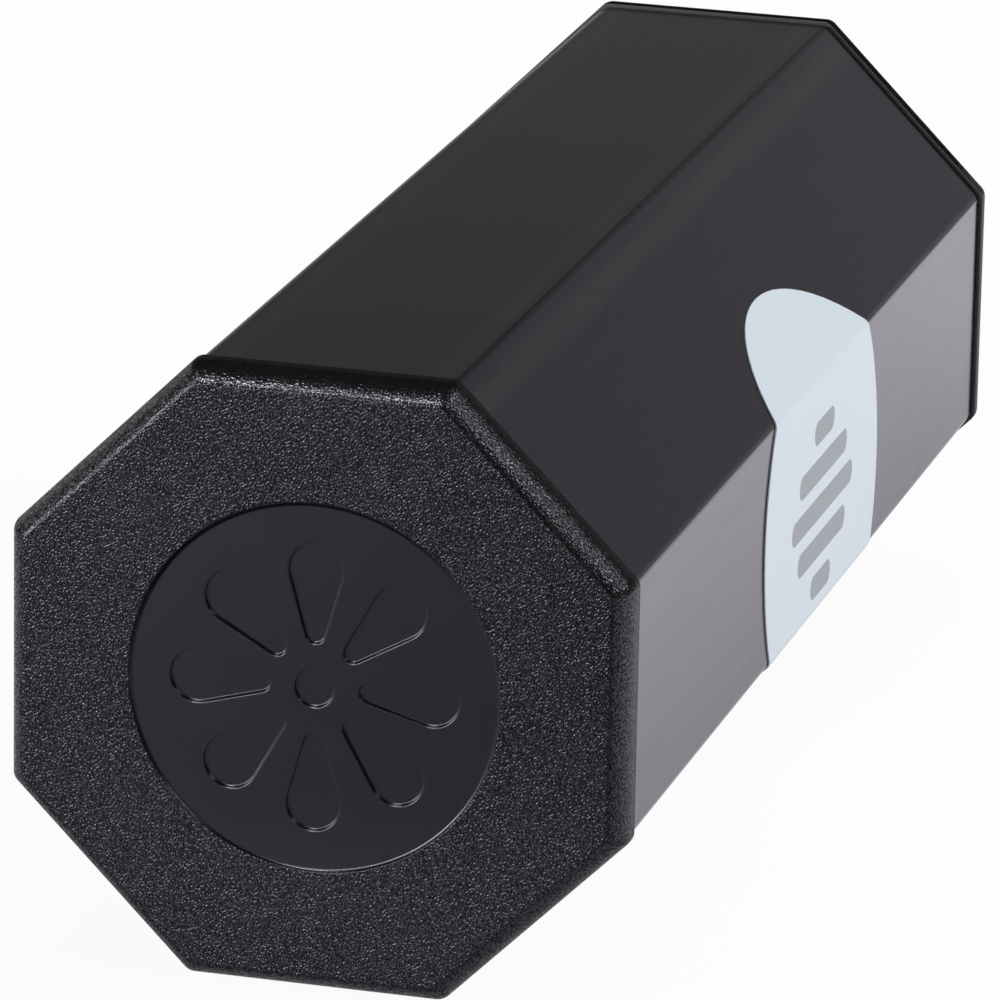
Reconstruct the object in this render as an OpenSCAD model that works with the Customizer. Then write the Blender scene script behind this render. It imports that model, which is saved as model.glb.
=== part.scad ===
// Hand shaker: an octagonal metal tube closed by two moulded end caps, with a loose
// charge of steel shot inside and a round label wrapped over three of its flats.
// The tube lies along Y on one of its flats, and Z = 0 is the surface it rests on.

/* [Tube] */
// Width of the tube across two opposite flats
tube_flats = 50; // [40:0.5:70]
// Length of the tube between its two sawn ends
tube_length = 121; // [90:1:200]
// Thickness of the tube's wall
tube_wall = 1.6; // [1:0.1:3]
// Radius of the eight outer corners of the tube
tube_corner = 1; // [0.4:0.1:2]
// Radius of the eight inner corners of the tube
bore_corner = 0.5; // [0.2:0.1:1]

/* [End caps] */
// How far the flange stands out past the tube's flats
flange_overhang = 0.3; // [0.2:0.05:1]
// Thickness of the flange that closes the tube
flange_thickness = 3.3; // [2.6:0.1:3.7]
// Radius of the eight corners of the flange
flange_corner = 1; // [0.4:0.1:3]
// Height of the flange's straight side behind its rounded edge
flange_land = 0.8; // [0.5:0.1:1.6]
// Radius of the flange's rounded edge, which the flat front face cuts off
flange_edge = 3; // [2.6:0.1:4]
// Depth of the hollow plug inside the tube
plug_depth = 6; // [3:0.5:12]
// Thickness of the plug's wall
plug_wall = 1.8; // [1:0.1:3]
// Gap between the plug and the tube's bore on each side
plug_clearance = 0.08; // [0.04:0.02:0.3]
// How much rounder the plug's corners are than the bore's
plug_ease = 0.3; // [0:0.1:0.8]

/* [Cap ornament] */
// Diameter of the smooth recessed disc on the cap
disc_d = 30.2; // [24:0.2:34]
// Depth of the disc below the flange's front face
disc_depth = 0.3; // [0.1:0.05:0.6]
// Number of petals in the engraved rosette
petal_count = 8; // [5:1:10]
// Distance from the cap's centre to the petal's narrow end
petal_near = 4.4; // [4:0.1:6]
// Distance from the cap's centre to the petal's wide end
petal_far = 9.6; // [8:0.1:10]
// Radius of the petal's narrow end
petal_r_near = 0.8; // [0.5:0.1:1]
// Radius of the petal's wide end
petal_r_far = 2.2; // [1:0.1:2.4]
// Radius of the round dimple in the rosette's centre
dimple_r = 1.6; // [0.8:0.1:2.4]
// Depth of the rosette below the disc
petal_depth = 0.35; // [0.1:0.05:0.6]

/* [Label] */
// Diameter of the round label when it is laid flat
label_d = 40; // [24:0.2:48]
// Thickness of the label
label_thickness = 0.12; // [0.08:0.01:0.15]
// Thickness of the adhesive between the tube and the label
label_bond = 0.03; // [0.02:0.01:0.05]
// How far the label's centre sits below the middle of the side flat
label_drop = 1.3; // [0:0.1:4]
// How far the label's centre sits behind the middle of the tube
label_shift = 1.1; // [-10:0.1:10]

/* [Shot] */
// Diameter of one steel ball
shot_d = 4; // [3:0.25:5]
// Gap kept between neighbouring balls and between the balls and the tube
shot_gap = 0.2; // [0.1:0.05:0.4]
// Number of layers in the heap of shot
shot_layers = 3; // [1:1:4]
// Number of balls in each lane of the lowest layer
shot_per_lane = 12; // [8:2:16]
// How many balls shorter a lane is than one in the layer below
shot_step = 2; // [0:2:2]

/* [Hidden] */
$fn = 64;
sides = 8;
turn = 360 / sides;
root2 = sqrt(2);

// Anodised metal, moulded plastic, printed film and steel
tube_colour = [0.23, 0.22, 0.23];
cap_colour = [0.15, 0.15, 0.16];
label_colour = [0.86, 0.88, 0.91];
shot_colour = [0.72, 0.73, 0.75];

// Octagons across their flats
flange_flats = tube_flats + 2 * flange_overhang;
bore_flats = tube_flats - 2 * tube_wall;
plug_flats = bore_flats - 2 * plug_clearance;
plug_corner = bore_corner + plug_ease;
plug_bore_flats = plug_flats - 2 * plug_wall;
label_inner_flats = tube_flats + 2 * label_bond;
label_outer_flats = label_inner_flats + 2 * label_thickness;

// Height of the tube's axis above the surface it rests on
axis_z = flange_flats / 2;

// Width of one flat of the tube, from corner to corner
flat_width = tube_flats * tan(turn / 2);

// How far the cuts reach past the faces they open
cut = 1;

// How far the label's shares reach past each other at a fold
fold_lap = 0.1;

// Half-angle by which the petal's straight sides open outwards
petal_flare = asin((petal_r_far - petal_r_near) / (petal_far - petal_near));

// Lanes of shot lie side by side like rods in a stack
shot_pitch = shot_d + shot_gap;
layer_rise = shot_pitch * sin(60);
shot_reach = bore_flats / 2 - shot_gap - shot_d / 2;

// Depth of one layer's ball centres below the tube's axis
function layer_depth(layer) = shot_reach - layer * layer_rise;

// Greatest distance of a ball's centre from the middle at one layer's height
function layer_reach(layer) = min(shot_reach, shot_reach * root2 - layer_depth(layer));

// Layers alternate between a lane on the middle line and lanes astride it
function lane_count(layer) =
    layer % 2 == 0
    ? 2 * floor(layer_reach(layer) / shot_pitch) + 1
    : 2 * floor(layer_reach(layer) / shot_pitch + 0.5);

function ball_count(layer) = shot_per_lane - layer * shot_step;

function lane_name(layer, lane) = str("shot_layer", layer + 1, "_lane", lane + 1);

// Corner points of an octagon whose flats face along the axes
function octagon(flats) =
    [for (k = [0 : sides - 1]) flats / 2 / cos(turn / 2) * [cos((k + 0.5) * turn), sin((k + 0.5) * turn)]];

// Octagon with round corners: a sixteen-sided core and a circle in each corner
module rounded_octagon(flats, radius) {
    centres = octagon(flats - 2 * radius);
    polygon([
        for (k = [0 : sides - 1])
            for (edge = [0, 1])
                centres[k] + radius * [cos((k + edge) * turn), sin((k + edge) * turn)]
    ]);
    for (k = [0 : sides - 1])
        translate(centres[k])
            circle(r = radius);
}

// Octagonal ring that runs along Y from one end to the other
module octagonal_ring(outer_flats, outer_radius, inner_flats, inner_radius, length) {
    rotate([90, 0, 0])
        difference() {
            linear_extrude(height = length, center = true)
                rounded_octagon(outer_flats, outer_radius);
            linear_extrude(height = length + 2 * cut, center = true)
                rounded_octagon(inner_flats, inner_radius);
        }
}

// Section across the flange from flat to flat: straight sides, rounded edges and a flat front
module flange_section() {
    half = flange_flats / 2;
    core = half - flange_edge;
    translate([-half, 0])
        square([flange_flats, flange_land]);
    translate([-core, 0])
        square([2 * core, flange_thickness]);
    intersection() {
        union() {
            for (side = [-1, 1])
                translate([side * core, flange_land])
                    circle(r = flange_edge);
        }
        translate([-half, 0])
            square([flange_flats, flange_thickness]);
    }
}

// Flange with its back on Z = 0: the rounded edges of its flats meet in mitres
module flange() {
    intersection() {
        linear_extrude(height = flange_thickness)
            rounded_octagon(flange_flats, flange_corner);
        intersection_for(k = [0 : sides / 2 - 1])
            rotate([0, 0, k * turn])
                rotate([90, 0, 0])
                    linear_extrude(height = 2 * flange_flats, center = true)
                        flange_section();
    }
}

// One engraved petal, wide end outwards
module petal() {
    side = [-sin(petal_flare), cos(petal_flare)];
    mirrored = [side.x, -side.y];
    near = [petal_near, 0];
    far = [petal_far, 0];
    translate(near)
        circle(r = petal_r_near);
    translate(far)
        circle(r = petal_r_far);
    polygon([
        near + petal_r_near * side,
        near + petal_r_near * mirrored,
        far + petal_r_far * mirrored,
        far + petal_r_far * side
    ]);
}

// Rosette of petals round a dimple
module rosette() {
    circle(r = dimple_r);
    for (k = [0 : petal_count - 1])
        rotate(k * 360 / petal_count)
            petal();
}

// One cap with its flange's back on Z = 0 and its plug below
module cap() {
    difference() {
        union() {
            flange();
            translate([0, 0, -plug_depth])
                linear_extrude(height = plug_depth)
                    difference() {
                        rounded_octagon(plug_flats, plug_corner);
                        rounded_octagon(plug_bore_flats, bore_corner);
                    }
        }
        translate([0, 0, flange_thickness - disc_depth])
            cylinder(h = disc_depth + cut, d = disc_d);
        translate([0, 0, flange_thickness - disc_depth - petal_depth])
            linear_extrude(height = petal_depth + cut)
                rosette();
    }
}

// Octagonal aluminium tube, open at both ends
module body_tube() {
    color(tube_colour)
        translate([0, 0, axis_z])
            octagonal_ring(tube_flats, tube_corner, bore_flats, bore_corner, tube_length);
}

// Cap on the front end, facing -Y
module front_cap() {
    color(cap_colour)
        translate([0, -tube_length / 2, axis_z])
            rotate([90, 0, 0])
                cap();
}

// Cap on the rear end, facing +Y
module rear_cap() {
    color(cap_colour)
        translate([0, tube_length / 2, axis_z])
            rotate([-90, 0, 0])
                cap();
}

// Part of the round label that lies on one flat, as a block across that flat's share of the wall
module label_share(step) {
    depth = label_outer_flats;
    reach = depth * tan(turn / 2) + fold_lap;
    rotate([0, -step * turn, 0])
        rotate([0, 90, 0])
            intersection() {
                translate([step * flat_width + label_drop, label_shift, 0])
                    cylinder(h = depth, d = label_d);
                rotate([90, 0, 0])
                    linear_extrude(height = 2 * (label_d + abs(label_shift)), center = true)
                        polygon([[-fold_lap, 0], [-reach, depth], [reach, depth], [fold_lap, 0]]);
            }
}

// Round label on the +X flat, folded over the flats above and below it
module label() {
    color(label_colour)
        translate([0, 0, axis_z])
            intersection() {
                octagonal_ring(
                    label_outer_flats,
                    tube_corner + label_bond + label_thickness,
                    label_inner_flats,
                    tube_corner + label_bond,
                    tube_length
                );
                union() {
                    for (step = [-1 : 1])
                        label_share(step);
                }
            }
}

// One lane of loose balls along the tube
module shot_lane(layer, lane) {
    balls = ball_count(layer);
    lane_x = (lane - (lane_count(layer) - 1) / 2) * shot_pitch;
    color(shot_colour)
        for (ball = [0 : balls - 1])
            translate([lane_x, (ball - (balls - 1) / 2) * shot_pitch, axis_z - layer_depth(layer)])
                sphere(d = shot_d);
}

body_tube();
front_cap();
rear_cap();
label();
for (layer = [0 : shot_layers - 1])
    for (lane = [0 : lane_count(layer) - 1])
        shot_lane(layer, lane);
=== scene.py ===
"""Hand shaker: an octagonal metal tube, two grained end caps, a folded label and steel shot."""

import logging
import math
from collections.abc import Iterable, Sequence
from dataclasses import dataclass
from enum import Enum
from typing import Any

import bmesh
import bpy
from bmesh.types import BMEdge, BMesh, BMFace, BMVert
from mathutils import Matrix, Vector


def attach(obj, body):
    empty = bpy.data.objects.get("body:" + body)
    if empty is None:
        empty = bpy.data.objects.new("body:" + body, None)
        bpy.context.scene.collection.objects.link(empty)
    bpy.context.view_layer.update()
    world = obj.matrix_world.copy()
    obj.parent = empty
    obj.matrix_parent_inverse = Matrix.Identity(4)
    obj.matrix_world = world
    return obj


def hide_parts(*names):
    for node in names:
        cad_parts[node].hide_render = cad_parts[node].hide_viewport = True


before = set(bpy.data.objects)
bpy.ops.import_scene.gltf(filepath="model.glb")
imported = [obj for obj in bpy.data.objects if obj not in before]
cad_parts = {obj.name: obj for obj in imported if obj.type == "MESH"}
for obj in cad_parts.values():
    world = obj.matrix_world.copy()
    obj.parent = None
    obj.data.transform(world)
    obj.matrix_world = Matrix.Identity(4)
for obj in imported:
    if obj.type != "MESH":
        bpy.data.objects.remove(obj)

LOG = logging.getLogger("shaker")

MM = 0.001
SIDES = 8
TURN = math.tau / SIDES
SHELL = "shell"

# Sizes that several pieces share
TUBE_FLATS = 50.0 * MM
TUBE_LENGTH = 121.0 * MM
TUBE_CORNER = 1.0 * MM
CAP_FLATS = 50.6 * MM
AXIS_Z = CAP_FLATS / 2
DISC_R = 15.1 * MM

# Level ring round each recess, which keeps its fillet from bending the face's shading
MARGIN = 0.12 * MM

# Points nearer to each other than this become one, and none of the insets is smaller
WELD = 0.001 * MM

# How far a point may lie from the plane that it is looked for on
SLACK = 0.0001 * MM

Colour = tuple[float, float, float]
Point = tuple[float, float, float]

# Where a smooth step starts and ends, and the places and greys of a ramp
Span = tuple[float, float]
Stops = tuple[tuple[float, float], ...]


class End(Enum):
    """The two ends of the tube, each with the direction its cap faces along Y."""

    FRONT = -1
    REAR = 1


class Curl(Enum):
    """Which way a small fillet turns between a level face and a wall."""

    OVER = "from the level face down into the wall"
    OUT = "from the wall out into the level face"


class Sock:
    """One output of a node graph, on which arithmetic adds Math nodes."""

    def __init__(self, graph: "Graph", socket: bpy.types.NodeSocket) -> None:
        """Wraps a socket of a graph."""
        self.graph = graph
        self.socket = socket

    def _math(self, operation: str, *values: "Sock | float") -> "Sock":
        """Adds a Math node with an operation and its inputs, in order."""
        return self.graph.add("ShaderNodeMath", {"operation": operation}, dict(enumerate(values)))

    def __add__(self, other: "Sock | float") -> "Sock":
        """Sum of two values."""
        return self._math("ADD", self, other)

    __radd__ = __add__

    def __sub__(self, other: "Sock | float") -> "Sock":
        """Difference of two values."""
        return self._math("SUBTRACT", self, other)

    def __rsub__(self, other: float) -> "Sock":
        """A number less this value."""
        return self._math("SUBTRACT", other, self)

    def __mul__(self, other: "Sock | float") -> "Sock":
        """Product of two values."""
        return self._math("MULTIPLY", self, other)

    __rmul__ = __mul__

    def __truediv__(self, other: "Sock | float") -> "Sock":
        """Quotient of two values."""
        return self._math("DIVIDE", self, other)

    def __pow__(self, other: float) -> "Sock":
        """Power of a value."""
        return self._math("POWER", self, other)

    def __abs__(self) -> "Sock":
        """Size of a value without its sign."""
        return self._math("ABSOLUTE", self)

    def floor(self) -> "Sock":
        """Whole number at or below a value."""
        return self._math("FLOOR", self)

    def cosine(self) -> "Sock":
        """Cosine of an angle in radians."""
        return self._math("COSINE", self)

    def at_least(self, other: "Sock | float") -> "Sock":
        """The larger of two values."""
        return self._math("MAXIMUM", self, other)

    def length_with(self, other: "Sock") -> "Sock":
        """Length of the hypotenuse over two sides."""
        return (self * self + other * other) ** 0.5

    def rise(self, low: float, high: float) -> "Sock":
        """Smooth step from 0 to 1.

        Args:
            low: The value at which the step starts.
            high: The value at which it ends.

        Returns:
            The step, turned round where low is above high.
        """
        ends = {"From Min": min(low, high), "From Max": max(low, high)}
        ends |= {"To Min": float(low > high), "To Max": float(low <= high)}
        smooth = {"interpolation_type": "SMOOTHSTEP"}
        return self.graph.add("ShaderNodeMapRange", smooth, {"Value": self, **ends})

    def output(self, name: str) -> "Sock":
        """Another output of the same node."""
        return Sock(self.graph, self.socket.node.outputs[name])


class Graph:
    """A node tree of a material or of the world, with one method that adds any node."""

    # Sockets of a Mix node for colours, which share their names with those of its other kinds
    MIX_LOW = 6
    MIX_HIGH = 7
    MIX_RESULT = 2

    def __init__(self, owner: bpy.types.Material | bpy.types.World) -> None:
        """Empties the owner's node tree and keeps it.

        Args:
            owner: The material or the world.
        """
        owner.use_nodes = True
        self.tree = owner.node_tree
        self.tree.nodes.clear()

    def add(
        self, kind: str, settings: dict[str, Any] | None = None, inputs: dict[Any, Any] | None = None
    ) -> Sock:
        """Adds a node.

        Args:
            kind: The node's type.
            settings: Its properties; "stops" holds a ramp's places and colours.
            inputs: A value or a link for each socket, by name or number.

        Returns:
            The node's first output, or a wrapper of its first input if it has none.
        """
        node = self.tree.nodes.new(kind)
        for name, value in (settings or {}).items():
            if name == "stops":
                self._stops(node.color_ramp.elements, value)
            else:
                setattr(node, name, value)
        for key, value in (inputs or {}).items():
            if isinstance(value, Sock):
                self.tree.links.new(value.socket, node.inputs[key])
            else:
                node.inputs[key].default_value = value
        return Sock(self, node.outputs[0] if node.outputs else node.inputs[0])

    @staticmethod
    def _stops(elements: Any, stops: Sequence[tuple[float, Sequence[float]]]) -> None:
        """Sets a ramp's stops.

        Args:
            elements: The ramp's elements.
            stops: Place and colour of each stop.
        """
        while len(elements) < len(stops):
            elements.new(1.0)
        for element, (place, colour) in zip(elements, stops):
            element.position = place
            element.color = (*colour, 1.0)

    def mix(self, factor: Sock | float, low: Sock | Colour, high: Sock | Colour) -> Sock:
        """Mixes two colours.

        Args:
            factor: 0 for the first colour and 1 for the second.
            low: The first colour.
            high: The second colour.

        Returns:
            The mixed colour.
        """
        ends = {
            key: value if isinstance(value, Sock) else (*value, 1.0)
            for key, value in ((self.MIX_LOW, low), (self.MIX_HIGH, high))
        }
        mixed = self.add("ShaderNodeMix", {"data_type": "RGBA"}, {0: factor, **ends})
        return Sock(self, mixed.socket.node.outputs[self.MIX_RESULT])

    def place(self) -> Sock:
        """Object coordinates of the piece."""
        return self.add("ShaderNodeTexCoord").output("Object")

    def split(self, vector: Sock) -> tuple[Sock, Sock, Sock]:
        """The three parts of a vector."""
        first = self.add("ShaderNodeSeparateXYZ", None, {0: vector})
        return first, first.output("Y"), first.output("Z")

    def stretch(self, vector: Sock, scale: Sequence[float], turn: Sequence[float] = (0, 0, 0)) -> Sock:
        """Scales a vector on each axis and turns it about each, in radians."""
        return self.add("ShaderNodeMapping", None, {"Vector": vector, "Scale": scale, "Rotation": turn})

    def noise(self, vector: Sock, scale: float, detail: float = 2.0, roughness: float = 0.5) -> Sock:
        """Soft noise from 0 to 1, with so many lumps for each unit of the vector."""
        sizes = {"Vector": vector, "Scale": scale, "Detail": detail, "Roughness": roughness}
        return self.add("ShaderNodeTexNoise", {"noise_dimensions": "3D"}, sizes)

    def bump(self, height: Sock, depth: float, strength: float = 1.0) -> Sock:
        """Normal of a small relief, whose depth is in metres."""
        sizes = {"Strength": strength, "Distance": depth, "Height": height}
        return self.add("ShaderNodeBump", None, sizes)

    def principled(self, **inputs: Any) -> Sock:
        """Adds a Principled surface, whose sockets are given with _ for each space."""
        sockets = {name.replace("_", " "): value for name, value in inputs.items()}
        return self.add("ShaderNodeBsdfPrincipled", None, sockets)

    def close(self, shader: Sock) -> None:
        """Ends a material's graph with its shader."""
        self.add("ShaderNodeOutputMaterial", None, {"Surface": shader})

    def surface(self, **inputs: Any) -> None:
        """Ends a material's graph with a Principled surface, given as for principled."""
        self.close(self.principled(**inputs))


@dataclass(frozen=True)
class BrushedAnodise:
    """Black anodised metal, brushed along the tube."""

    name: str = "brushed_anodise"
    dark: Colour = (0.0905, 0.0846, 0.1013)
    light: Colour = (0.1235, 0.1156, 0.1363)
    # Painted reflection: the lighter colour of the band either side of the corners
    edge: Colour = (0.16, 0.156, 0.168)
    mark: Colour = (0.07, 0.066, 0.08)
    roughness: float = 0.16
    line_roughness: float = 0.12
    cloud_roughness: float = 0.04
    scratch: float = 0.0016 * MM
    scratching: float = 0.8
    fine_lines: Point = (5200.0, 26.0, 5200.0)
    broad_lines: Point = (900.0, 9.0, 900.0)
    mark_lines: Point = (3300.0, 260.0, 3300.0)
    fine_share: float = 0.65
    clouds: float = 42.0
    contrast: float = 1.3
    side_contrast: float = 4.4
    side: Span = (24.4 * MM, 24.8 * MM)
    half_flat: float = 10.36 * MM
    sheen_start: Span = (0.6 * MM, 1.4 * MM)
    sheen_end: Span = (3.0 * MM, 2.0 * MM)
    sheen_share: float = 0.7
    mark_cut: Span = (0.56, 0.74)
    marking: float = 0.45

    def material(self) -> bpy.types.Material:
        """Makes the finish.

        Returns:
            A material whose fine lines run along Y, with a painted reflection: a lighter band either
            side of the corners of the top and bottom flats.
        """
        made = bpy.data.materials.new(self.name)
        g = Graph(made)
        place = g.place()
        x, _, _ = g.split(place)
        fine = g.noise(g.stretch(place, self.fine_lines), 1.0, 3.0, 0.6)
        broad = g.noise(g.stretch(place, self.broad_lines), 1.0)
        lines = fine * self.fine_share + broad * (1 - self.fine_share)
        cloud = g.noise(place, self.clouds)
        on_side = abs(x).rise(*self.side)
        spread = (lines - 0.5) * (self.contrast + on_side * self.side_contrast) + 0.5
        beside = abs(abs(x) - self.half_flat)
        # Painted reflection: a lighter band either side of the corners
        band = beside.rise(*self.sheen_start) * beside.rise(*self.sheen_end) * self.sheen_share
        metal = g.mix(band, g.mix(spread, self.dark, self.light), self.edge)
        marks = g.noise(g.stretch(place, self.mark_lines), 1.0).rise(*self.mark_cut)
        wear = (lines - 0.5) * self.line_roughness + (cloud - 0.5) * self.cloud_roughness
        g.surface(
            Base_Color=g.mix(marks * self.marking, metal, self.mark),
            Metallic=1.0,
            Roughness=self.roughness + wear,
            Normal=g.bump(fine, self.scratch, self.scratching),
        )
        return made


@dataclass(frozen=True)
class GrainedPlastic:
    """Black moulded plastic: grained, with a smooth disc in the middle of the cap."""

    name: str = "grained_plastic"
    hollow: Colour = (0.0026, 0.0027, 0.0031)
    crest: Colour = (0.0060, 0.0062, 0.0070)
    smooth: Colour = (0.0040, 0.0040, 0.0046)
    # Painted sheen: a lighter colour on the back of the rear flange, in place of the grain's glints
    sheen_seat: Colour = (0.05, 0.049, 0.052)
    gloss: float = 0.45
    gloss_tint: Colour = (0.88, 0.92, 1.0)
    roughness: float = 0.235
    hollow_roughness: float = 0.8
    sheen: float = 160.0
    sheen_roughness: float = 0.04
    grain: float = 7400.0
    depth: float = 0.056 * MM
    slant: float = math.radians(64.0)
    stretch: float = 0.7
    steepening: float = 6.0
    crest_cut: Span = (0.3, 0.7)
    # Painted shade in the grain's hollows: where it starts, and how strong it is on the face and the
    # flank
    cavity_shade_cut: Span = (0.62, 0.4)
    cavity_shading: float = 0.75
    flank_cavity_shading: float = 0.4
    disc_edge: float = 0.1 * MM
    # Painted shadow at the foot of the disc's upper-left wall: its radii, its height and its lean
    foot_shadow_line: Span = (-0.34 * MM, -0.24 * MM)
    foot_shadow_up: Span = (3.0 * MM, 13.0 * MM)
    foot_shadow_lean: float = 0.3
    flank: float = TUBE_LENGTH / 2
    front: float = 63.6 * MM
    flank_dulled: float = 1.6 * MM
    flank_dulling: float = 0.2
    seat_end: Span = (0.12 * MM, 0.04 * MM)
    seat_dulling: float = 0.4
    lean: float = 0.55 * MM
    lean_reach: float = 2.4 * MM
    lean_up: Span = (8.0 * MM, 14.0 * MM)
    lean_across: Span = (-12.0 * MM, -8.0 * MM)
    # Painted shade on the rear cap's flank, away from its right side
    far_across: Span = (24.6 * MM, 22.0 * MM)
    far_shading: float = 0.85

    def material(self) -> bpy.types.Material:
        """Makes the finish.

        Returns:
            A material with a pebbled relief outside the disc, and a plain ring behind the rear flange
            with a painted sheen; painted shade lies in the grain's hollows, at the disc's foot and on
            the rear cap's flank.
        """
        made = bpy.data.materials.new(self.name)
        g = Graph(made)
        place = g.place()
        x, y, z = g.split(place)
        up = z - AXIS_Z
        radius = x.length_with(up)
        outside = radius.rise(DISC_R - self.disc_edge, DISC_R + self.disc_edge)
        # Painted shadow along the disc's foot, on its upper-left side
        shaded = (up - x * self.foot_shadow_lean).rise(*self.foot_shadow_up)
        foot = radius.rise(*(DISC_R + inset for inset in self.foot_shadow_line)) * (1 - outside) * shaded
        slanted = g.stretch(place, (1, 1, 1), (0, self.slant, 0))
        pebble = g.noise(g.stretch(slanted, (self.stretch, 1, 1)), self.grain, 0.0)
        sheen = g.noise(place, self.sheen)
        facing = abs(y).rise(self.flank, self.front)
        # Back of the rear flange, which carries the painted sheen
        sheen_seat = y.rise(*(self.flank + end for end in self.seat_end)) * y.rise(0.0, 1.0 * MM)
        grained = outside * (1 - sheen_seat)
        # Crests painted lighter than the hollows on the face, as a painted shade of the hollows
        body = g.mix(pebble.rise(*self.crest_cut) * facing, self.hollow, self.crest)
        relief = g.bump(self._relief(x, y, up, pebble * grained), 1.0)
        dulled = abs(y).rise(self.flank + self.flank_dulled, self.flank) * self.flank_dulling
        dulled += sheen_seat * self.seat_dulling
        crests = g.principled(
            Base_Color=g.mix(sheen_seat, g.mix(outside, self.smooth, body), self.sheen_seat),
            Roughness=self.roughness + (sheen - 0.5) * self.sheen_roughness + dulled,
            Normal=relief,
            Specular_IOR_Level=self.gloss,
            Specular_Tint=(*self.gloss_tint, 1.0),
        )
        # A shaded copy of the plastic without reflection, which the painted shade mixes in
        hollows = g.principled(
            Base_Color=g.mix(sheen, self.hollow, self.crest),
            Roughness=self.hollow_roughness,
            Normal=relief,
            Specular_IOR_Level=0.0,
        )
        # Painted shade on the rear cap's flank, away from its right side
        rear_flank = y.rise(self.flank - 1.0 * MM, self.flank) * (1 - facing) * (1 - sheen_seat)
        far = rear_flank * x.rise(*self.far_across) * self.far_shading
        # Painted shade: the grain's hollows, the shadow at the disc's foot and the rear cap's flank
        depth = (facing * (1 - self.flank_cavity_shading) + self.flank_cavity_shading) * self.cavity_shading
        painted_shade = pebble.rise(*self.cavity_shade_cut) * grained * depth + foot + far
        g.close(g.add("ShaderNodeMixShader", None, {0: painted_shade, 1: crests, 2: hollows}))
        return made

    def _relief(self, x: Sock, y: Sock, up: Sock, pebble: Sock) -> Sock:
        """Works out the height of the surface, in metres.

        Args:
            x: Place across the cap.
            y: Place along the tube.
            up: Height over the tube's axis.
            pebble: The grain, from 0 to 1.

        Returns:
            The grain, deeper towards the bottom, and a lean of the upper flanks that catches the light.
        """
        high = up.rise(*self.lean_up) * x.rise(*self.lean_across)
        lean = abs(y).rise(self.flank + self.lean_reach, self.flank - self.lean_reach) * high * self.lean
        return pebble * (1 - up * self.steepening) * self.depth + lean


@dataclass(frozen=True)
class PrintedFilm:
    """Pale silver film with a plain grey print of bars, whose sizes are in millimetres."""

    name: str = "printed_film"
    film: Colour = (0.63, 0.715, 0.775)
    film_warm: Colour = (0.66, 0.735, 0.79)
    ink: Colour = (0.325, 0.34, 0.37)
    span: float = 50.0
    pitch: float = 3.4
    bar: float = 1.05
    soft: float = 0.04
    wave: float = 2.1
    wave_start: float = 0.35
    swell: float = 8.4
    shortest: float = 1.8
    narrowing: float = 0.11
    last_bar: Span = (2.4, 2.3)
    clouds: float = 60.0
    cloud_share: float = 0.7
    flakes: float = 5200.0
    flake_depth: float = 0.002 * MM
    flaking: float = 0.5
    roughness: float = 0.38
    flake_roughness: float = 0.1
    ink_roughness: float = 0.08

    def material(self) -> bpy.types.Material:
        """Makes the finish.

        Returns:
            A material that reads the label's flat place from its UV map, in millimetres from its centre.
        """
        made = bpy.data.materials.new(self.name)
        g = Graph(made)
        across, along, _ = g.split(g.add("ShaderNodeUVMap", {"uv_map": "flat"}))
        s = (across - 0.5) * self.span
        y = (along - 0.5) * self.span
        count = (abs(s) / self.pitch + 0.5).floor()
        swell = abs((count * self.wave + self.wave_start).cosine()) * self.swell
        reach = (swell + self.shortest) * (1 - count * self.narrowing)
        beside = abs(s) - count * self.pitch
        beyond = (abs(y) - reach).at_least(0.0)
        bar = beside.length_with(beyond).rise(self.bar + self.soft, self.bar - self.soft)
        ink = bar * count.rise(*self.last_bar)
        place = g.place()
        cloud = g.noise(place, self.clouds)
        flake = g.noise(place, self.flakes)
        streak = cloud * self.cloud_share + flake * (1 - self.cloud_share)
        g.surface(
            Base_Color=g.mix(ink, g.mix(streak, self.film, self.film_warm), self.ink),
            Roughness=self.roughness + (flake - 0.5) * self.flake_roughness + ink * self.ink_roughness,
            Normal=g.bump(flake, self.flake_depth, self.flaking),
        )
        return made


@dataclass(frozen=True)
class PolishedSteel:
    """Polished steel with fine handling marks."""

    name: str = "polished_steel"
    bright: Colour = (0.60, 0.61, 0.63)
    dull: Colour = (0.46, 0.46, 0.48)
    haze: float = 900.0
    mark_lines: Point = (2600.0, 700.0, 2600.0)
    mark_turn: Point = (0.4, 0.2, 0.9)
    mark_cut: Span = (0.5, 0.75)
    mark_depth: float = 0.002 * MM
    marking: float = 0.4
    roughness: float = 0.16
    mark_roughness: float = 0.16

    def material(self) -> bpy.types.Material:
        """Makes the finish.

        Returns:
            A material for the balls.
        """
        made = bpy.data.materials.new(self.name)
        g = Graph(made)
        place = g.place()
        marks = g.noise(g.stretch(place, self.mark_lines, self.mark_turn), 1.0, 3.0)
        g.surface(
            Base_Color=g.mix(g.noise(place, self.haze), self.bright, self.dull),
            Metallic=1.0,
            Roughness=self.roughness + marks.rise(*self.mark_cut) * self.mark_roughness,
            Normal=g.bump(marks, self.mark_depth, self.marking),
        )
        return made


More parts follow.
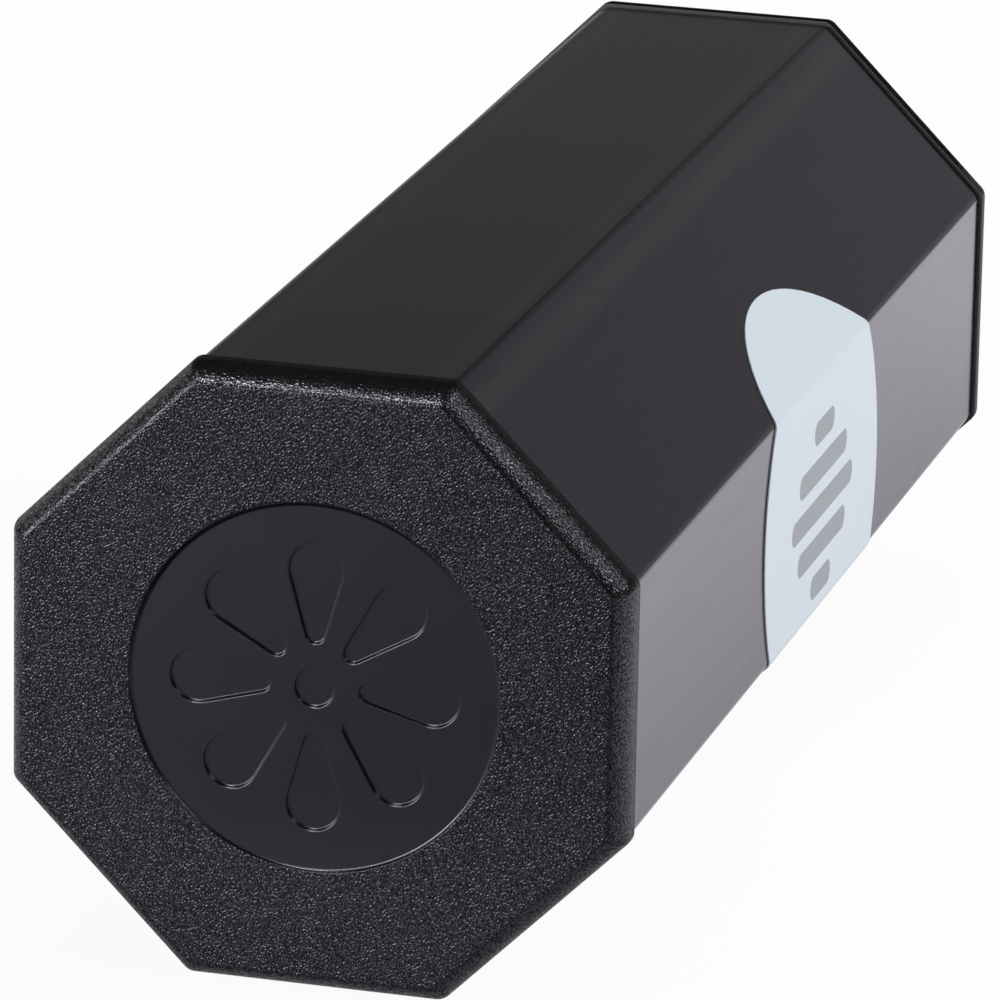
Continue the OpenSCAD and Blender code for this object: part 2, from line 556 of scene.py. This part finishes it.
@dataclass(frozen=True)
class PaleFloor:
    """Plain pale studio floor; its mirror image holds painted shade and glare, placed in metres."""

    name: str = "pale_floor"
    colour: Colour = (0.87, 0.862, 0.885)
    colour_far: Colour = (0.885, 0.88, 0.90)
    glow: Colour = (1.0, 1.0, 1.0)
    beside: Colour = (0.955, 0.95, 1.0)
    # Painted shadow under the shaker, seen only in reflections
    under: Colour = (0.64, 0.635, 0.685)
    # Painted shade before the front cap, seen only in reflections
    before: Colour = (0.38, 0.38, 0.41)
    # Painted glare beside the front cap, brighter than white, seen only in reflections
    glare: Colour = (2.0, 2.0, 2.08)
    # Painted shade far from the shaker, seen only in reflections
    distant_shade: Colour = (0.25, 0.25, 0.27)
    clouds: float = 3.0
    roughness: float = 0.75
    gloss: float = 0.2
    lift: float = 0.95
    lift_mirrored: float = 0.92
    under_across: Span = (0.03, 0.058)
    under_along: Span = (0.07, 0.17)
    before_left: Span = (-0.1, 0.0)
    before_right: Span = (0.115, 0.085)
    before_start: Span = (-0.075, -0.11)
    front_start: Span = (-0.062, -0.08)
    glare_start: Span = (0.055, 0.075)
    glare_front: Span = (-0.1, -0.068)
    glare_back: Span = (0.02, -0.01)
    distant_shade_start: Span = (0.28, 0.4)

    def material(self) -> bpy.types.Material:
        """Makes the finish.

        Returns:
            A material with hardly any pattern, whose mirror image has painted shade and glare round the
            shaker.
        """
        made = bpy.data.materials.new(self.name)
        g = Graph(made)
        place = g.place()
        lit = g.principled(
            Base_Color=g.mix(g.noise(place, self.clouds), self.colour, self.colour_far),
            Roughness=self.roughness,
            Specular_IOR_Level=self.gloss,
        )
        rays = g.add("ShaderNodeLightPath")
        mirrored = rays.output("Is Glossy Ray").at_least(rays.output("Is Transmission Ray"))
        white = g.add("ShaderNodeEmission", None, {"Color": (*self.glow, 1.0), "Strength": 1.0})
        glow = g.principled(
            Base_Color=(0.0, 0.0, 0.0, 1.0),
            Specular_IOR_Level=0.0,
            Emission_Color=self._mirror_image(g, place),
            Emission_Strength=1.0,
        )
        image = g.add("ShaderNodeMixShader", None, {0: mirrored * self.lift_mirrored, 1: lit, 2: glow})
        g.close(g.add("ShaderNodeMixShader", None, {0: rays * self.lift, 1: image, 2: white}))
        return made

    def _mirror_image(self, g: Graph, place: Sock) -> Sock:
        """Paints shade and glare into what the shaker mirrors of the floor.

        Args:
            g: The material's graph.
            place: The floor's own coordinates.

        Returns:
            Colour with painted shadow under the shaker, painted shade before it and far away, and a
            painted glare beside the front cap.
        """
        x, y, _ = g.split(place)
        # Painted shadow under and beside the shaker
        clear = abs(x).rise(*self.under_across).at_least(abs(y).rise(*self.under_along))
        near = g.mix(clear, self.under, self.beside)
        # Painted shade before the front cap
        ahead = x.rise(*self.before_left) * x.rise(*self.before_right) * y.rise(*self.before_start)
        front = g.mix(ahead, self.beside, self.before)
        plain = g.mix(y.rise(*self.front_start), near, front)
        # Painted glare beside the front cap
        patch = x.rise(*self.glare_start) * y.rise(*self.glare_front) * y.rise(*self.glare_back)
        round_about = g.mix(patch, plain, self.glare)
        # Painted shade far from the shaker
        return g.mix(x.length_with(y).rise(*self.distant_shade_start), round_about, self.distant_shade)


def new_piece(name: str, bm: BMesh, smooth_angle: float = 35.0) -> bpy.types.Object:
    """Turns a bmesh into a piece at the origin, with smooth shading up to an angle.

    Args:
        name: The piece's name.
        bm: Its mesh, in metres, where it belongs.
        smooth_angle: Edges sharper than this, in degrees, stay crisp.

    Returns:
        The piece.
    """
    bmesh.ops.remove_doubles(bm, verts=bm.verts[:], dist=WELD)
    bmesh.ops.recalc_face_normals(bm, faces=bm.faces[:])
    mesh = bpy.data.meshes.new(name)
    bm.to_mesh(mesh)
    bm.free()
    mesh.shade_smooth()
    mesh.set_sharp_from_angle(angle=math.radians(smooth_angle))
    piece = bpy.data.objects.new(name, mesh)
    bpy.context.scene.collection.objects.link(piece)
    level = piece.modifiers.new("level_flats", "WEIGHTED_NORMAL")
    level.mode = "FACE_AREA"
    level.weight = 50
    level.keep_sharp = True
    return piece


def octagon_loop(bm: BMesh, flats: float, radius: float, height: float, steps: int) -> list[BMEdge]:
    """Adds an octagon with round corners, its flats facing along the axes.

    Args:
        bm: The mesh it is added to.
        flats: Width across the flats.
        radius: Radius of its corners.
        height: Its place along Z.
        steps: Segments in each corner.

    Returns:
        The edges of the loop.
    """
    lift = Matrix.Translation((0, 0, height)) @ Matrix.Rotation(TURN / 2, 4, "Z")
    made = bmesh.ops.create_circle(
        bm, cap_ends=True, segments=SIDES, radius=flats / 2 / math.cos(TURN / 2), matrix=lift
    )
    bmesh.ops.bevel(
        bm,
        geom=made["verts"],
        offset=radius * math.tan(TURN / 2),
        offset_type="OFFSET",
        segments=steps,
        profile=0.5,
        affect="VERTICES",
        material=-1,
    )
    level = [face for face in bm.faces if abs(face.calc_center_median().z - height) < SLACK]
    face = max(level, key=lambda candidate: len(candidate.verts))
    edges = list(face.edges)
    bmesh.ops.delete(bm, geom=[face], context="FACES_ONLY")
    return edges


def extrude_loop(bm: BMesh, edges: list[BMEdge], step: Vector) -> list[BMEdge]:
    """Draws a loop of edges out into a wall.

    Args:
        bm: The mesh.
        edges: The loop.
        step: How far it goes.

    Returns:
        The edges at the far side of the wall.
    """
    geom = bmesh.ops.extrude_edge_only(bm, edges=edges)["geom"]
    verts = [v for v in geom if isinstance(v, BMVert)]
    bmesh.ops.translate(bm, verts=verts, vec=step)
    fresh = set(verts)
    return [e for e in geom if isinstance(e, BMEdge) and set(e.verts) <= fresh]


def plate(bm: BMesh, edges: list[BMEdge]) -> None:
    """Fills the level space between an outer loop and the loops inside it."""
    bmesh.ops.triangle_fill(bm, use_beauty=True, use_dissolve=False, edges=edges, normal=(0, 0, 1))


def fill(bm: BMesh, edges: list[BMEdge]) -> BMFace:
    """Closes a loop with one face."""
    return bmesh.ops.edgeloop_fill(bm, edges=edges)["faces"][0]


def fill_up(bm: BMesh, edges: list[BMEdge]) -> BMFace:
    """Closes a level loop with one face that looks up.

    Args:
        bm: The mesh.
        edges: The loop.

    Returns:
        The face.
    """
    face = fill(bm, edges)
    face.normal_update()
    if face.normal.z < 0:
        face.normal_flip()
    return face


def arc_steps(radius: float, count: int, curl: Curl) -> list[tuple[float, float]]:
    """Works out the insets that make a quarter-round fillet.

    Args:
        radius: The fillet's radius.
        count: Its segments.
        curl: Which way it turns.

    Returns:
        Inset and drop of each segment.
    """
    turns = [math.pi / 2 * k / count for k in range(count + 1)]
    if curl is Curl.OVER:
        points = [(radius * math.sin(a), radius * (1 - math.cos(a))) for a in turns]
    else:
        points = [(radius * (1 - math.cos(a)), radius * math.sin(a)) for a in turns]
    return [(b[0] - a[0], b[1] - a[1]) for a, b in zip(points, points[1:])]


def sink(bm: BMesh, face: BMFace, depth: float, rim: float, foot: float, run: float) -> None:
    """Sinks a face into a recess with a level margin, a rounded rim and a rounded foot.

    Args:
        bm: The mesh.
        face: The face, which becomes the recess's floor.
        depth: How deep it goes.
        rim: Radius of the fillet at the top.
        foot: Height of the fillet at the bottom.
        run: How far that fillet reaches in over the floor.
    """
    draft, rim_steps, foot_steps = 0.012 * MM, 4, 6
    steps = [(MARGIN, 0.0), *arc_steps(rim, rim_steps, Curl.OVER)]
    steps.append((draft, depth - rim - foot))
    steps += [(inset * run / foot, drop) for inset, drop in arc_steps(foot, foot_steps, Curl.OUT)]
    for inset, drop in steps:
        bmesh.ops.inset_individual(
            bm, faces=[face], thickness=max(inset, WELD), depth=-drop, use_even_offset=True
        )


@dataclass
class Tube:
    """The octagonal tube."""

    flats: float = TUBE_FLATS
    length: float = TUBE_LENGTH
    wall: float = 1.6 * MM
    corner: float = TUBE_CORNER
    inner_corner: float = 0.5 * MM
    corner_steps: int = 8

    def build(self) -> bpy.types.Object:
        """Models the tube as one closed wall.

        Returns:
            The tube.
        """
        bm = bmesh.new()
        half = self.length / 2
        bore = self.flats - 2 * self.wall
        along = Vector((0, 0, self.length))
        outer = octagon_loop(bm, self.flats, self.corner, -half, self.corner_steps)
        inner = octagon_loop(bm, bore, self.inner_corner, -half, self.corner_steps)
        plate(bm, outer + inner)
        outer_end = extrude_loop(bm, outer, along)
        inner_end = extrude_loop(bm, inner, along)
        plate(bm, outer_end + inner_end)
        lay = Matrix.Translation((0, 0, AXIS_Z)) @ Matrix.Rotation(math.pi / 2, 4, "X")
        bmesh.ops.transform(bm, matrix=lay, verts=bm.verts[:])
        return new_piece("tube", bm)

    def dress(self, piece: bpy.types.Object, finish: bpy.types.Material) -> None:
        """Finishes the tube and fixes it to the shell.

        Args:
            piece: The piece.
            finish: Its material.
        """
        piece.data.materials.append(finish)
        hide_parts("body_tube")
        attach(piece, SHELL)


@dataclass
class EndCap:
    """One moulded cap: a rounded flange with a recessed disc, and a hollow plug behind it."""

    end: End
    flats: float = CAP_FLATS
    corner: float = 1.0 * MM
    corner_steps: int = 8
    thickness: float = 3.3 * MM
    land: float = 0.8 * MM
    edge: float = 3.0 * MM
    edge_steps: int = 14
    brow: float = 0.65 * MM
    brow_steps: int = 7
    face_ring: float = 0.1 * MM
    back_edge: float = 0.08 * MM
    plug_flats: float = 46.64 * MM
    plug_corner: float = 0.8 * MM
    plug_wall: float = 1.8 * MM
    plug_depth: float = 6.0 * MM
    disc_depth: float = 0.3 * MM
    disc_run: float = 0.22 * MM
    disc_ring: float = 0.25 * MM
    disc_segments: int = 144
    rim: float = 0.1 * MM
    foot: float = 0.12 * MM
    petals: int = 8
    petal_near: float = 4.4 * MM
    petal_far: float = 9.6 * MM
    petal_r_near: float = 0.8 * MM
    petal_r_far: float = 2.2 * MM
    petal_near_steps: int = 8
    petal_far_steps: int = 22
    petal_depth: float = 0.35 * MM
    dimple_r: float = 1.6 * MM
    dimple_segments: int = 40

    def build(self) -> bpy.types.Object:
        """Models the cap, first with its flange's back on Z = 0 and then in its place.

        Returns:
            The cap.
        """
        bm = bmesh.new()
        back, front = self._flange(bm)
        self._plug(bm, back)
        self._disc(bm, front)
        flip = Matrix.Rotation(math.pi / 2, 4, "X")
        if self.end is End.REAR:
            flip = Matrix.Rotation(math.pi, 4, "Z") @ flip
        put = Matrix.Translation((0, self.end.value * TUBE_LENGTH / 2, AXIS_Z)) @ flip
        bmesh.ops.transform(bm, matrix=put, verts=bm.verts[:])
        return new_piece(f"{self.end.name.lower()}_end_cap", bm, 40.0)

    def _flange(self, bm: BMesh) -> tuple[list[BMEdge], list[BMEdge]]:
        """Adds the flange's rim.

        Args:
            bm: The mesh.

        Returns:
            The open loops at its back and at its front.
        """
        girth, level = self.flats - 2 * self.back_edge, 0.0
        back = octagon_loop(bm, girth, self.corner, level, self.corner_steps)
        front = back
        for width, height in self._girths():
            front = extrude_loop(bm, front, Vector((0, 0, height - level)))
            verts = list({v for e in front for v in e.verts})
            bmesh.ops.scale(bm, verts=verts, vec=(width / girth, width / girth, 1))
            girth, level = width, height
        return back, front

    def _girths(self) -> list[tuple[float, float]]:
        """Works out the flange's widths from its back to its front.

        Returns:
            Width across the flats and height of each ring.
        """
        core, rest = self.flats / 2 - self.edge, self.edge - self.brow
        rise = self.thickness - self.brow
        tilt = math.acos((rise - self.land) / rest)
        rings = [(self.flats, self.back_edge), (self.flats, self.land)]
        for out, level, radius, start, end, count in (
            (core, self.land, self.edge, math.pi / 2, tilt, self.edge_steps),
            (core + rest * math.sin(tilt), rise, self.brow, tilt, 0.0, self.brow_steps),
        ):
            turns = [start + (end - start) * k / count for k in range(1, count + 1)]
            rings += [(2 * (out + radius * math.sin(a)), level + radius * math.cos(a)) for a in turns]
        return [*rings, (rings[-1][0] - 2 * self.face_ring, self.thickness)]

    def _plug(self, bm: BMesh, back: list[BMEdge]) -> None:
        """Adds the hollow plug behind the flange.

        Args:
            bm: The mesh.
            back: The open loop at the flange's back.
        """
        outer = octagon_loop(bm, self.plug_flats, self.plug_corner, 0.0, self.corner_steps)
        plate(bm, back + outer)
        outer_end = extrude_loop(bm, outer, Vector((0, 0, -self.plug_depth)))
        bore = self.plug_flats - 2 * self.plug_wall
        inner_end = octagon_loop(bm, bore, self.plug_corner / 2, -self.plug_depth, self.corner_steps)
        plate(bm, outer_end + inner_end)
        fill(bm, extrude_loop(bm, inner_end, Vector((0, 0, self.plug_depth))))

    def _disc(self, bm: BMesh, front: list[BMEdge]) -> None:
        """Closes the front with the recessed disc and its rosette.

        Args:
            bm: The mesh.
            front: The open loop at the flange's front.
        """
        grow = self.rim + MARGIN
        ring = self._ring(bm, DISC_R + grow, self.thickness, self.disc_segments)
        plate(bm, front + ring)
        floor = fill_up(bm, ring)
        sink(bm, floor, self.disc_depth, self.rim, self.foot, self.disc_run)
        bmesh.ops.inset_individual(
            bm, faces=[floor], thickness=self.disc_ring, depth=0.0, use_even_offset=True
        )
        border = list(floor.edges)
        bmesh.ops.delete(bm, geom=[floor], context="FACES_ONLY")
        level = self.thickness - self.disc_depth
        turns = [k * math.tau / self.petals for k in range(self.petals)]
        holes = [self._ring(bm, self.dimple_r + grow, level, self.dimple_segments)]
        holes += [self._petal(bm, turn, level, grow) for turn in turns]
        plate(bm, border + [e for hole in holes for e in hole])
        for hole in holes:
            sink(bm, fill_up(bm, hole), self.petal_depth, self.rim, self.foot, self.foot)

    @staticmethod
    def _ring(bm: BMesh, radius: float, height: float, segments: int) -> list[BMEdge]:
        """Adds a round loop about the cap's axis.

        Args:
            bm: The mesh.
            radius: The loop's radius.
            height: Its place along Z.
            segments: Its edges.

        Returns:
            The loop.
        """
        lift = Matrix.Translation((0, 0, height))
        made = bmesh.ops.create_circle(
            bm, cap_ends=False, segments=segments, radius=radius, matrix=lift
        )
        return list({e for v in made["verts"] for e in v.link_edges})

    def _petal(self, bm: BMesh, turn: float, height: float, grow: float) -> list[BMEdge]:
        """Adds the outline of one petal: a narrow arc, a wide arc and two straight sides.

        Args:
            bm: The mesh.
            turn: The petal's direction.
            height: Its place along Z.
            grow: How far the outline stands outside the petal's wall.

        Returns:
            The loop.
        """
        widening = self.petal_r_far - self.petal_r_near
        flare = math.asin(widening / (self.petal_far - self.petal_near))
        half, wide = math.pi / 2 + flare, math.pi + 2 * flare
        narrow = math.pi - 2 * flare
        arcs = (
            (self.petal_near, self.petal_r_near + grow, half, narrow, self.petal_near_steps),
            (self.petal_far, self.petal_r_far + grow, -half, wide, self.petal_far_steps),
        )
        ends: list[BMVert] = []
        verts: list[BMVert] = []
        for out, radius, start, sweep, steps in arcs:
            centre = Matrix.Rotation(turn, 3, "Z") @ Vector((out, 0, 0)) + Vector((0, 0, height))
            arm = Matrix.Rotation(turn + start, 3, "Z") @ Vector((radius, 0, 0))
            first = bm.verts.new(centre + arm)
            before = set(bm.verts)
            spun = bmesh.ops.spin(
                bm, geom=[first], cent=centre, axis=(0, 0, 1), dvec=(0, 0, 0), angle=sweep, steps=steps
            )
            last = spun["geom_last"]
            verts += [first, *(set(bm.verts) - before)]
            ends += [first, next(v for v in last if isinstance(v, BMVert))]
        for a, b in ((ends[1], ends[2]), (ends[3], ends[0])):
            bmesh.ops.contextual_create(bm, geom=[a, b])
        return list({e for v in verts for e in v.link_edges})

    def dress(self, piece: bpy.types.Object, finish: bpy.types.Material) -> None:
        """Finishes the cap and fixes it to the shell.

        Args:
            piece: The piece.
            finish: Its material.
        """
        piece.data.materials.append(finish)
        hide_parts(f"{self.end.name.lower()}_cap")
        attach(piece, SHELL)


@dataclass
class Label:
    """A round label folded over three flats of the tube."""

    diameter: float = 40.0 * MM
    thickness: float = 0.12 * MM
    bond: float = 0.03 * MM
    drop: float = 1.3 * MM
    shift: float = 1.1 * MM
    lean: float = -0.072
    flats: float = TUBE_FLATS
    corner: float = TUBE_CORNER
    span: float = 50.0 * MM
    segments: int = 160
    fold_steps: int = 8

    def build(self) -> bpy.types.Object:
        """Models the label flat, with X up the tube's side and Y along it, and then folds it.

        Returns:
            The label.
        """
        bm = bmesh.new()
        lean = Matrix.Shear("YZ", 4, (self.lean, 0.0))
        centre = Matrix.Translation((-self.drop, self.shift, 0)) @ lean
        radius = self.diameter / 2
        bmesh.ops.create_circle(bm, cap_ends=True, segments=self.segments, radius=radius, matrix=centre)
        for side in (-1, 1):
            for k in range(self.fold_steps + 1):
                at = side * (self._half_flat() + self._fold() * k / self.fold_steps)
                geom = bm.verts[:] + bm.edges[:] + bm.faces[:]
                bmesh.ops.bisect_plane(
                    bm, geom=geom, dist=SLACK, plane_co=(at, 0, 0), plane_no=(1, 0, 0)
                )
        raised = bmesh.ops.extrude_face_region(bm, geom=bm.faces[:], use_keep_orig=True)["geom"]
        top = [v for v in raised if isinstance(v, BMVert)]
        bmesh.ops.translate(bm, verts=top, vec=(0, 0, self.thickness))
        bmesh.ops.recalc_face_normals(bm, faces=bm.faces[:])
        uv = bm.loops.layers.uv.new("flat")
        for face in bm.faces:
            for loop in face.loops:
                x, y, _ = loop.vert.co
                across, along = (x + self.drop) / self.span, (y - self.shift) / self.span
                loop[uv].uv = (0.5 + across, 0.5 + along)
        for vert in bm.verts:
            vert.co = self._folded(vert.co)
        return new_piece("label_film", bm, 50.0)

    def _half_flat(self) -> float:
        """Half the level width of one flat, up to its round corners."""
        return self.flats / 2 * math.tan(TURN / 2) - self.corner * math.tan(TURN / 2)

    def _fold(self) -> float:
        """Length of the tube's skin round one corner."""
        return self.corner * TURN

    def _folded(self, flat: Vector) -> Vector:
        """Lays a point of the flat label on the tube.

        Args:
            flat: The point: up the side, along the tube, and its height in the film.

        Returns:
            Where it lies on the tube.
        """
        side = math.copysign(1.0, flat.x)
        up = abs(flat.x) - self._half_flat()
        turn = min(max(up, 0.0) / self.corner, TURN)
        past = max(up - self._fold(), 0.0)
        out = self.corner + self.bond + flat.z
        x = self.flats / 2 - self.corner + out * math.cos(turn) - past * math.sin(turn)
        z = self._half_flat() + min(up, 0.0) + out * math.sin(turn) + past * math.cos(turn)
        return Vector((x, flat.y, AXIS_Z + side * z))

    def dress(self, piece: bpy.types.Object, finish: bpy.types.Material) -> None:
        """Finishes the label and fixes it to the shell.

        Args:
            piece: The piece.
            finish: Its material.
        """
        piece.data.materials.append(finish)
        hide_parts("label")
        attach(piece, SHELL)


@dataclass
class ShotCharge:
    """The loose steel balls, which keep the solids' own shape."""

    prefix: str = "shot_"

    def build(self) -> list[bpy.types.Object]:
        """Finds the lanes of balls, one object each."""
        nodes = sorted(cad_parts.items())
        return [node for name, node in nodes if name.startswith(self.prefix)]

    def dress(self, lanes: Iterable[bpy.types.Object], finish: bpy.types.Material) -> None:
        """Gives every lane the steel finish.

        Args:
            lanes: The lanes of balls.
            finish: The steel.
        """
        for lane in lanes:
            lane.data.materials.clear()
            lane.data.materials.append(finish)


@dataclass(frozen=True)
class Softbox:
    """One soft studio lamp."""

    name: str
    place: Point
    aim: Point
    size: tuple[float, float]
    power: float
    mirrored: bool = True
    diffused: bool = True
    caps_only: bool = False

    @classmethod
    def glint(
        cls, name: str, place: Point, aim: Point, size: tuple[float, float], power: float
    ) -> "Softbox":
        """A lamp that shows only as a glint on the caps."""
        return cls(name, place, aim, size, power, diffused=False, caps_only=True)

    def hang(self, caps: bpy.types.Collection) -> None:
        """Adds the lamp to the scene, turned to its aim.

        Args:
            caps: The pieces that a lamp for the caps alone lights.
        """
        lamp = bpy.data.lights.new(self.name, "AREA")
        lamp.shape = "RECTANGLE"
        lamp.size, lamp.size_y = self.size
        lamp.energy = self.power
        stand = bpy.data.objects.new(self.name, lamp)
        stand.location = self.place
        stand.visible_glossy = self.mirrored
        stand.visible_diffuse = self.diffused
        if self.caps_only:
            stand.light_linking.receiver_collection = caps
        towards = Vector(self.aim) - Vector(self.place)
        stand.rotation_euler = towards.to_track_quat("-Z", "Y").to_euler()
        bpy.context.scene.collection.objects.link(stand)


@dataclass
class Studio:
    """Floor, lamps, surroundings and camera."""

    floor_size: float = 8.0
    camera_place: Point = (0.17677, -0.65106, 0.23099)
    azimuth: float = 15.418
    elevation: float = 17.215
    roll: float = 1.109
    focal_px: float = 8296.9
    frame_px: float = 1000.0
    sensor: float = 36.0
    clip: tuple[float, float] = (0.01, 50.0)
    sky_left: Stops = (
        (0.0, 0.33),
        (0.1, 0.195),
        (0.3, 0.12),
        (0.335, 0.055),
        (0.45, 0.03),
        (1.0, 0.05),
    )
    sky_right: Stops = ((0.0, 0.35), (0.1, 0.28), (0.29, 0.19), (0.39, 0.16), (0.5, 0.07), (1.0, 0.07))
    sky_front: Stops = ((0.0, 0.05), (0.2, 0.05), (0.35, 0.17), (1.0, 0.09))
    sky_side: Stops = ((0.0, 0.3), (0.25, 0.2), (0.5, 0.12), (1.0, 0.07))
    sky_tint: Colour = (1.0, 0.94, 1.0)
    left_to_right: Span = (-0.25, 0.2)
    back_to_front: Span = (-0.2, -0.6)
    to_sides: Span = (0.55, 0.75)
    lamps: tuple[Softbox, ...] = (
        Softbox("overhead", (0.15, 0.25, 1.25), (0.05, 0.1, 0.0), (1.3, 1.3), 10.5, mirrored=False),
        Softbox("front_left", (-0.66, -0.94, 0.11), (0.0, -0.06, 0.03), (0.8, 0.2), 11.5, caps_only=True),
        Softbox("right", (1.25, 0.1, 0.6), (0.0, 0.0, 0.03), (0.5, 0.5), 10.2, mirrored=False),
        Softbox.glint("right_glint", (0.985, -0.16, 0.95), (0.0, -0.06, 0.04), (0.4, 0.4), 8.5),
        Softbox.glint("high_left", (-0.29, -0.71, 0.85), (0.0, -0.06, 0.03), (0.3, 0.24), 14.5),
        Softbox.glint("left", (-0.95, -0.62, 0.36), (0.0, -0.06, 0.03), (0.46, 0.46), 5.2),
        Softbox.glint("back_left", (-1.0, 0.5, 0.33), (0.0, -0.06, 0.03), (0.5, 0.4), 0.95),
    )

    def build(self, caps: Sequence[bpy.types.Object]) -> None:
        """Sets the stage, the lamps, the surroundings and the camera.

        Args:
            caps: The two end caps, which some lamps light alone.
        """
        self._floor()
        lit = bpy.data.collections.new("caps")
        for cap in caps:
            lit.objects.link(cap)
        for lamp in self.lamps:
            lamp.hang(lit)
        self._surroundings()
        self._camera()
        bpy.context.scene.view_settings.view_transform = "Standard"

    def _floor(self) -> None:
        """Lays the floor that the shaker rests on."""
        bm = bmesh.new()
        bmesh.ops.create_grid(bm, x_segments=2, y_segments=2, size=self.floor_size / 2)
        mesh = bpy.data.meshes.new("floor")
        bm.to_mesh(mesh)
        bm.free()
        floor = bpy.data.objects.new("floor", mesh)
        bpy.context.scene.collection.objects.link(floor)
        floor.data.materials.append(PaleFloor().material())

    def _ramp(self, g: Graph, up: Sock, stops: Stops) -> Sock:
        """Shades one side of the surroundings by the height and grey of each stop."""
        tinted = tuple((at, tuple(grey * share for share in self.sky_tint)) for at, grey in stops)
        return g.add("ShaderNodeValToRGB", {"stops": tinted}, {"Fac": up})

    def _surroundings(self) -> None:
        """Surrounds the stage with soft grey, lightest at the horizon behind and beside it."""
        world = bpy.data.worlds.new("studio")
        bpy.context.scene.world = world
        g = Graph(world)
        across, along, up = g.split(g.add("ShaderNodeTexCoord"))
        skies = (self.sky_left, self.sky_right, self.sky_front, self.sky_side)
        left, right, front, side = (self._ramp(g, up, stops) for stops in skies)
        behind = g.mix(across.rise(*self.left_to_right), left, right)
        ends = g.mix(along.rise(*self.back_to_front), behind, front)
        shade = g.mix(abs(across).rise(*self.to_sides), ends, side)
        sky = g.add("ShaderNodeBackground", None, {"Color": shade, "Strength": 1.0})
        g.add("ShaderNodeOutputWorld", None, {"Surface": sky})

    def _camera(self) -> None:
        """Puts the camera at the photograph's viewing angle."""
        az, el, roll = (math.radians(a) for a in (self.azimuth, self.elevation, self.roll))
        level = Vector((math.cos(az), math.sin(az), 0))
        ahead = Vector((-math.sin(az) * math.cos(el), math.cos(az) * math.cos(el), -math.sin(el)))
        upright = level.cross(ahead)
        right = level * math.cos(roll) + upright * math.sin(roll)
        up = upright * math.cos(roll) - level * math.sin(roll)
        data = bpy.data.cameras.new("camera")
        data.sensor_width = self.sensor
        data.lens = self.sensor * self.focal_px / self.frame_px
        data.clip_start, data.clip_end = self.clip
        camera = bpy.data.objects.new("camera", data)
        turn = Matrix((right, up, -ahead)).transposed().to_4x4()
        camera.matrix_world = Matrix.Translation(self.camera_place) @ turn
        bpy.context.scene.collection.objects.link(camera)
        bpy.context.scene.camera = camera


def main() -> None:
    """Builds and dresses the shaker, then its studio."""
    logging.basicConfig(level=logging.INFO, format="%(name)s: %(message)s")
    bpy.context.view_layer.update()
    metal, plastic = BrushedAnodise().material(), GrainedPlastic().material()
    film, steel = PrintedFilm().material(), PolishedSteel().material()
    caps: list[bpy.types.Object] = []
    for part, finish in (
        (Tube(), metal),
        (EndCap(End.FRONT), plastic),
        (EndCap(End.REAR), plastic),
        (Label(), film),
    ):
        piece = part.build()
        part.dress(piece, finish)
        if isinstance(part, EndCap):
            caps.append(piece)
        LOG.info("%s: %d faces", piece.name, len(piece.data.polygons))
    charge = ShotCharge()
    lanes = charge.build()
    charge.dress(lanes, steel)
    LOG.info("shot: %d lanes", len(lanes))
    Studio().build(caps)


if __name__ == "__main__":
    main()
